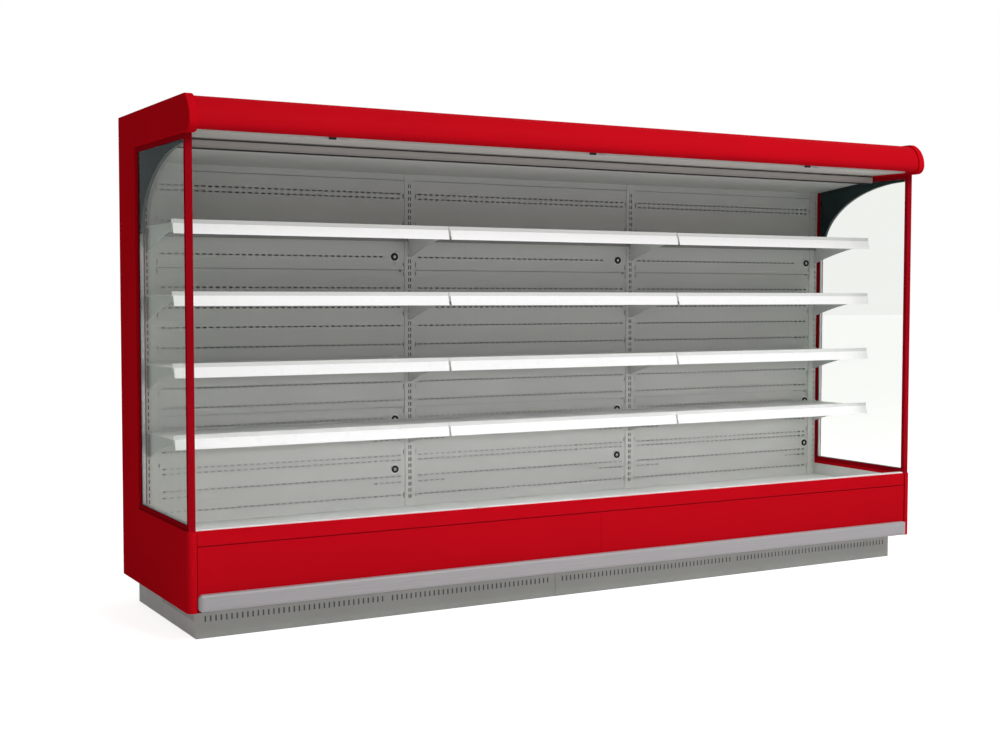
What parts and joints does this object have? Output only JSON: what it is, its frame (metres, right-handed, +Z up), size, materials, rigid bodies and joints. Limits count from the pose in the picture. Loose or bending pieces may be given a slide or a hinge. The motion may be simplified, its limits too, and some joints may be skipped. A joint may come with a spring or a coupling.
{
  "type": "open multideck display fridge",
  "caption": "Open-front multideck display fridge with glazed end panels, shelves with price rails, a lift-out deck, pull-down night blinds and a grey bumper.",
  "frame": {"origin": "centre of the bounding box at floor level", "axes": "+X along the case to the right as the shopper sees it, +Y to the back, +Z up"},
  "size_m": [3.822, 1.041, 2.145],
  "materials": {
    "canopy_red": "gloss",
    "panel_red": "gloss",
    "riser_red": "gloss",
    "bumper_grey": "satin",
    "bumper_cap": "satin",
    "kick_grey": "satin",
    "interior_grey": "satin",
    "shelf_grey": "satin",
    "deck_grey": "satin",
    "upright_grey": "satin",
    "rail_white": "gloss",
    "grille_white": "satin",
    "liner_white": "satin",
    "insulated_white": "matt",
    "soffit_grey": "satin",
    "band_grey": "satin",
    "vane_plastic": "matt",
    "glass": "polished",
    "spacer_aluminium": "satin",
    "infill_black": "satin",
    "dark_plastic": "satin",
    "motor_black": "satin",
    "fan_aluminium": "satin",
    "coil_aluminium": "satin",
    "galvanised": "satin",
    "foot_steel": "satin",
    "box_grey": "matt",
    "lamp_white": "gloss",
    "blind_bar_white": "satin",
    "blind_cloth": "matt"
  },
  "bodies": {
    "case": {"air_outlet_cover": "band_grey", "air_outlet_honeycomb": "vane_plastic", "back_panels": "interior_grey", "base_frame": "galvanised", "blind_brackets": "dark_plastic", "bumper_end_caps": "bumper_cap", "bumper_rail": "bumper_grey", "canopy_fascia": "canopy_red", "canopy_lamps": "lamp_white", "canopy_soffit": "soffit_grey", "ceiling_panel": "interior_grey", "corner_infills": "infill_black", "drain_outlet": "dark_plastic", "duct_front": "soffit_grey", "electrical_box": "box_grey", "end_liners": "liner_white", "end_panel_left": "panel_red", "end_panel_right": "panel_red", "evaporator_coil": "coil_aluminium", "fan_motors": "motor_black", "fan_plate": "galvanised", "insulated_tub": "insulated_white", "kick_plates": "kick_grey", "lamp_sockets": "dark_plastic", "levelling_feet": "foot_steel", "pane_spacers": "spacer_aluminium", "price_rails_1": "rail_white", "price_rails_2": "rail_white", "price_rails_3": "rail_white", "price_rails_4": "rail_white", "rear_wall": "insulated_white", "return_air_grille": "grille_white", "riser_panels": "riser_red", "riser_trim": "riser_red", "roof_panel": "insulated_white", "shelf_brackets_1": "shelf_grey", "shelf_brackets_2": "shelf_grey", "shelf_brackets_3": "shelf_grey", "shelf_brackets_4": "shelf_grey", "shelf_trays_1": "shelf_grey", "shelf_trays_2": "shelf_grey", "shelf_trays_3": "shelf_grey", "shelf_trays_4": "shelf_grey", "shelf_uprights": "upright_grey", "window_frame_left": "panel_red", "window_frame_right": "panel_red", "window_panes_left": "glass", "window_panes_right": "glass"},
    "deck_pan_1": {"deck_pan_1": "deck_grey"},
    "fan_1": {"fan_blades_1": "fan_aluminium"},
    "blind_bar_1": {"blind_bar_1": "blind_bar_white"},
    "blind_roll_1": {"blind_roll_1": "blind_cloth"},
    "deck_pan_2": {"deck_pan_2": "deck_grey"},
    "fan_2": {"fan_blades_2": "fan_aluminium"},
    "blind_bar_2": {"blind_bar_2": "blind_bar_white"},
    "blind_roll_2": {"blind_roll_2": "blind_cloth"},
    "deck_pan_3": {"deck_pan_3": "deck_grey"},
    "fan_3": {"fan_blades_3": "fan_aluminium"},
    "blind_bar_3": {"blind_bar_3": "blind_bar_white"},
    "blind_roll_3": {"blind_roll_3": "blind_cloth"}
  },
  "joints": [
    {"name": "deck_pan_1_lift", "type": "slide", "parent": "case", "child": "deck_pan_1", "axis": [0, 0, 1], "range_m": [0, 0.14]},
    {"name": "fan_1_spin", "type": "hinge", "parent": "case", "child": "fan_1", "pos_m": [-1.25, -0.0815, 0.272], "axis": [0, -1, 0], "continuous": true},
    {"name": "blind_1_pull", "type": "slide", "parent": "case", "child": "blind_bar_1", "axis": [0, 0, -1], "range_m": [0, 1.52], "stiffness_N_per_m": 5, "springref_m": -4},
    {"name": "blind_roll_1_turn", "type": "hinge", "parent": "case", "child": "blind_roll_1", "pos_m": [-1.25, -0.4135, 2.0695], "axis": [1, 0, 0], "continuous": true},
    {"name": "deck_pan_2_lift", "type": "slide", "parent": "case", "child": "deck_pan_2", "axis": [0, 0, 1], "range_m": [0, 0.14]},
    {"name": "fan_2_spin", "type": "hinge", "parent": "case", "child": "fan_2", "pos_m": [0, -0.0815, 0.272], "axis": [0, -1, 0], "continuous": true},
    {"name": "blind_2_pull", "type": "slide", "parent": "case", "child": "blind_bar_2", "axis": [0, 0, -1], "range_m": [0, 1.52], "stiffness_N_per_m": 5, "springref_m": -4},
    {"name": "blind_roll_2_turn", "type": "hinge", "parent": "case", "child": "blind_roll_2", "pos_m": [0, -0.4135, 2.0695], "axis": [1, 0, 0], "continuous": true},
    {"name": "deck_pan_3_lift", "type": "slide", "parent": "case", "child": "deck_pan_3", "axis": [0, 0, 1], "range_m": [0, 0.14]},
    {"name": "fan_3_spin", "type": "hinge", "parent": "case", "child": "fan_3", "pos_m": [1.25, -0.0815, 0.272], "axis": [0, -1, 0], "continuous": true},
    {"name": "blind_3_pull", "type": "slide", "parent": "case", "child": "blind_bar_3", "axis": [0, 0, -1], "range_m": [0, 1.52], "stiffness_N_per_m": 5, "springref_m": -4},
    {"name": "blind_roll_3_turn", "type": "hinge", "parent": "case", "child": "blind_roll_3", "pos_m": [1.25, -0.4135, 2.0695], "axis": [1, 0, 0], "continuous": true}
  ],
  "couplings": [
    {"joint": "blind_roll_1_turn", "follows": "blind_1_pull", "rad_per_m": 41.667},
    {"joint": "blind_roll_2_turn", "follows": "blind_2_pull", "rad_per_m": 41.667},
    {"joint": "blind_roll_3_turn", "follows": "blind_3_pull", "rad_per_m": 41.667}
  ]
}
